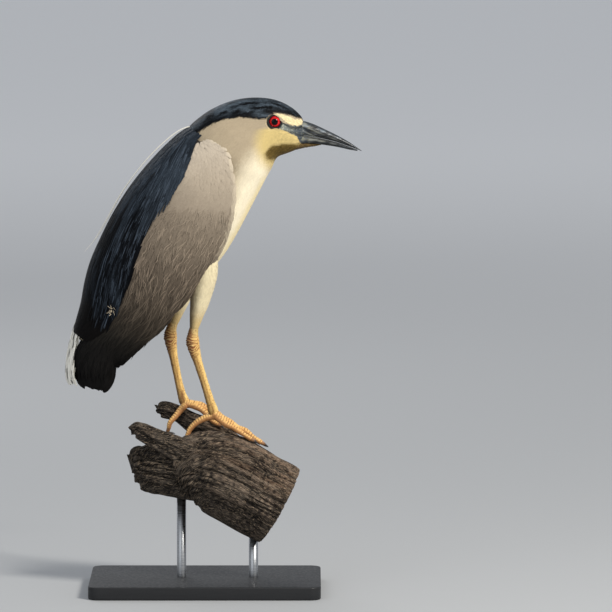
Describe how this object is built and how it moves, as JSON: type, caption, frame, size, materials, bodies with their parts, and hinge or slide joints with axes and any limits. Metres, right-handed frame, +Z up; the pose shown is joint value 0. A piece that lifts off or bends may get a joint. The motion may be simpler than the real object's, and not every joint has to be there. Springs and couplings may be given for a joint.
{
  "type": "black-crowned night heron",
  "caption": "Life-size still model of an adult black-crowned night heron, hunched in profile on a broken length of dead branch, held by a plain display stand.",
  "frame": {"origin": "centre of the stand's flat underside", "axes": "+Z up, +X the way the bird faces, +Y the bird's left side"},
  "size_m": [0.3173, 0.16, 0.5344],
  "materials": {
    "cap_feathers": "blue-black crown and hind-neck feathers with a low gloss",
    "back_feathers": "glossy blue-black feathers of the back",
    "pale_feathers": "soft matte cream and buff-grey body feathers",
    "wing_feathers": "matte warm grey wing feathers, darkest at the wing tip",
    "tail_feathers": "matte whitish grey tail feathers",
    "plumes": "soft white nape plumes",
    "leg_skin": "scaled ochre-yellow leg and toe skin, low sheen",
    "claw_horn": "dark smooth horn",
    "bill_horn": "blue-black horn, satin, paler at its base",
    "eye": "wet clear eye with a red iris and a black pupil",
    "perch_wood": "weathered, furrowed dead wood, matte charcoal brown",
    "stand_base": "matte black stained and sealed board",
    "stand_rod": "plain brushed steel rod"
  },
  "bodies": {
    "root": {"bill_lower": "bill_horn", "bill_upper": "bill_horn", "claw_left_hind": "claw_horn", "claw_left_inner": "claw_horn", "claw_left_middle": "claw_horn", "claw_left_outer": "claw_horn", "claw_right_hind": "claw_horn", "claw_right_inner": "claw_horn", "claw_right_middle": "claw_horn", "claw_right_outer": "claw_horn", "eye_left": "eye", "eye_right": "eye", "head": "cap_feathers", "mantle": "back_feathers", "neck": "pale_feathers", "perch": "perch_wood", "plume_left": "plumes", "plume_right": "plumes", "stand_base": "stand_base", "stand_rod_front": "stand_rod", "stand_rod_rear": "stand_rod", "tail": "tail_feathers", "tarsus_left": "leg_skin", "tarsus_right": "leg_skin", "thigh_left": "pale_feathers", "thigh_right": "pale_feathers", "toe_left_hind": "leg_skin", "toe_left_inner": "leg_skin", "toe_left_middle": "leg_skin", "toe_left_outer": "leg_skin", "toe_right_hind": "leg_skin", "toe_right_inner": "leg_skin", "toe_right_middle": "leg_skin", "toe_right_outer": "leg_skin", "trunk": "pale_feathers", "wing_left": "wing_feathers", "wing_right": "wing_feathers"}
  },
  "joints": []
}
